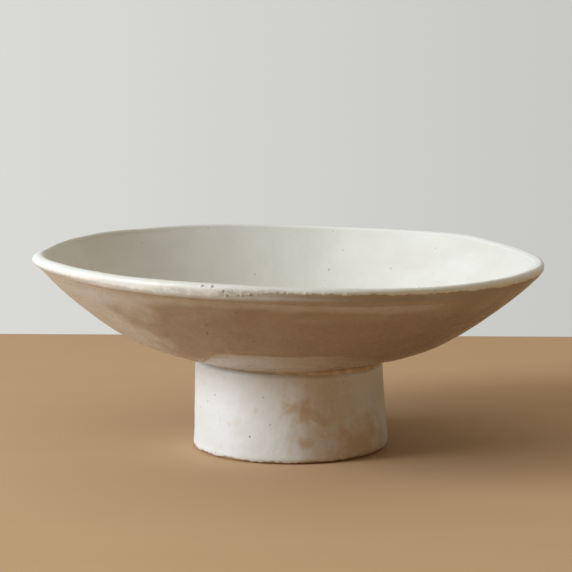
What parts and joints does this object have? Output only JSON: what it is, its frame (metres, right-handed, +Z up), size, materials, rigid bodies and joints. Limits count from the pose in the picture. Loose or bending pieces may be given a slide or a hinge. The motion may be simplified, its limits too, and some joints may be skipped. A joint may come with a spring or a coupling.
{
  "type": "footed compote bowl",
  "caption": "Wide shallow bowl with a rolled lip, carried on a short hollow pedestal foot and luted to it through a dark groove, for holding fruit on a table.",
  "frame": {"origin": "on the table, under the centre of the rim", "axes": "+Z up out of the bowl, +X to the right and +Y away from the viewer as the picture shows it; the bowl leans slightly towards +X"},
  "size_m": [0.26, 0.26, 0.101],
  "materials": {
    "clay": "bare fired stoneware, buff, fine grog",
    "slip": "bare slip in the groove, darker than the clay",
    "liner_glaze": "off-white satin glaze",
    "outer_glaze": "off-white satin glaze, thinner, with the clay warming it",
    "foot_glaze": "off-white satin glaze with tan patches where it is thin"
  },
  "bodies": {
    "root": {"bowl": "clay", "pedestal_foot": "clay", "joint_slip": "slip", "luting_coil": "clay", "liner_glaze": "liner_glaze", "outer_glaze": "outer_glaze", "foot_glaze": "foot_glaze"}
  },
  "joints": []
}
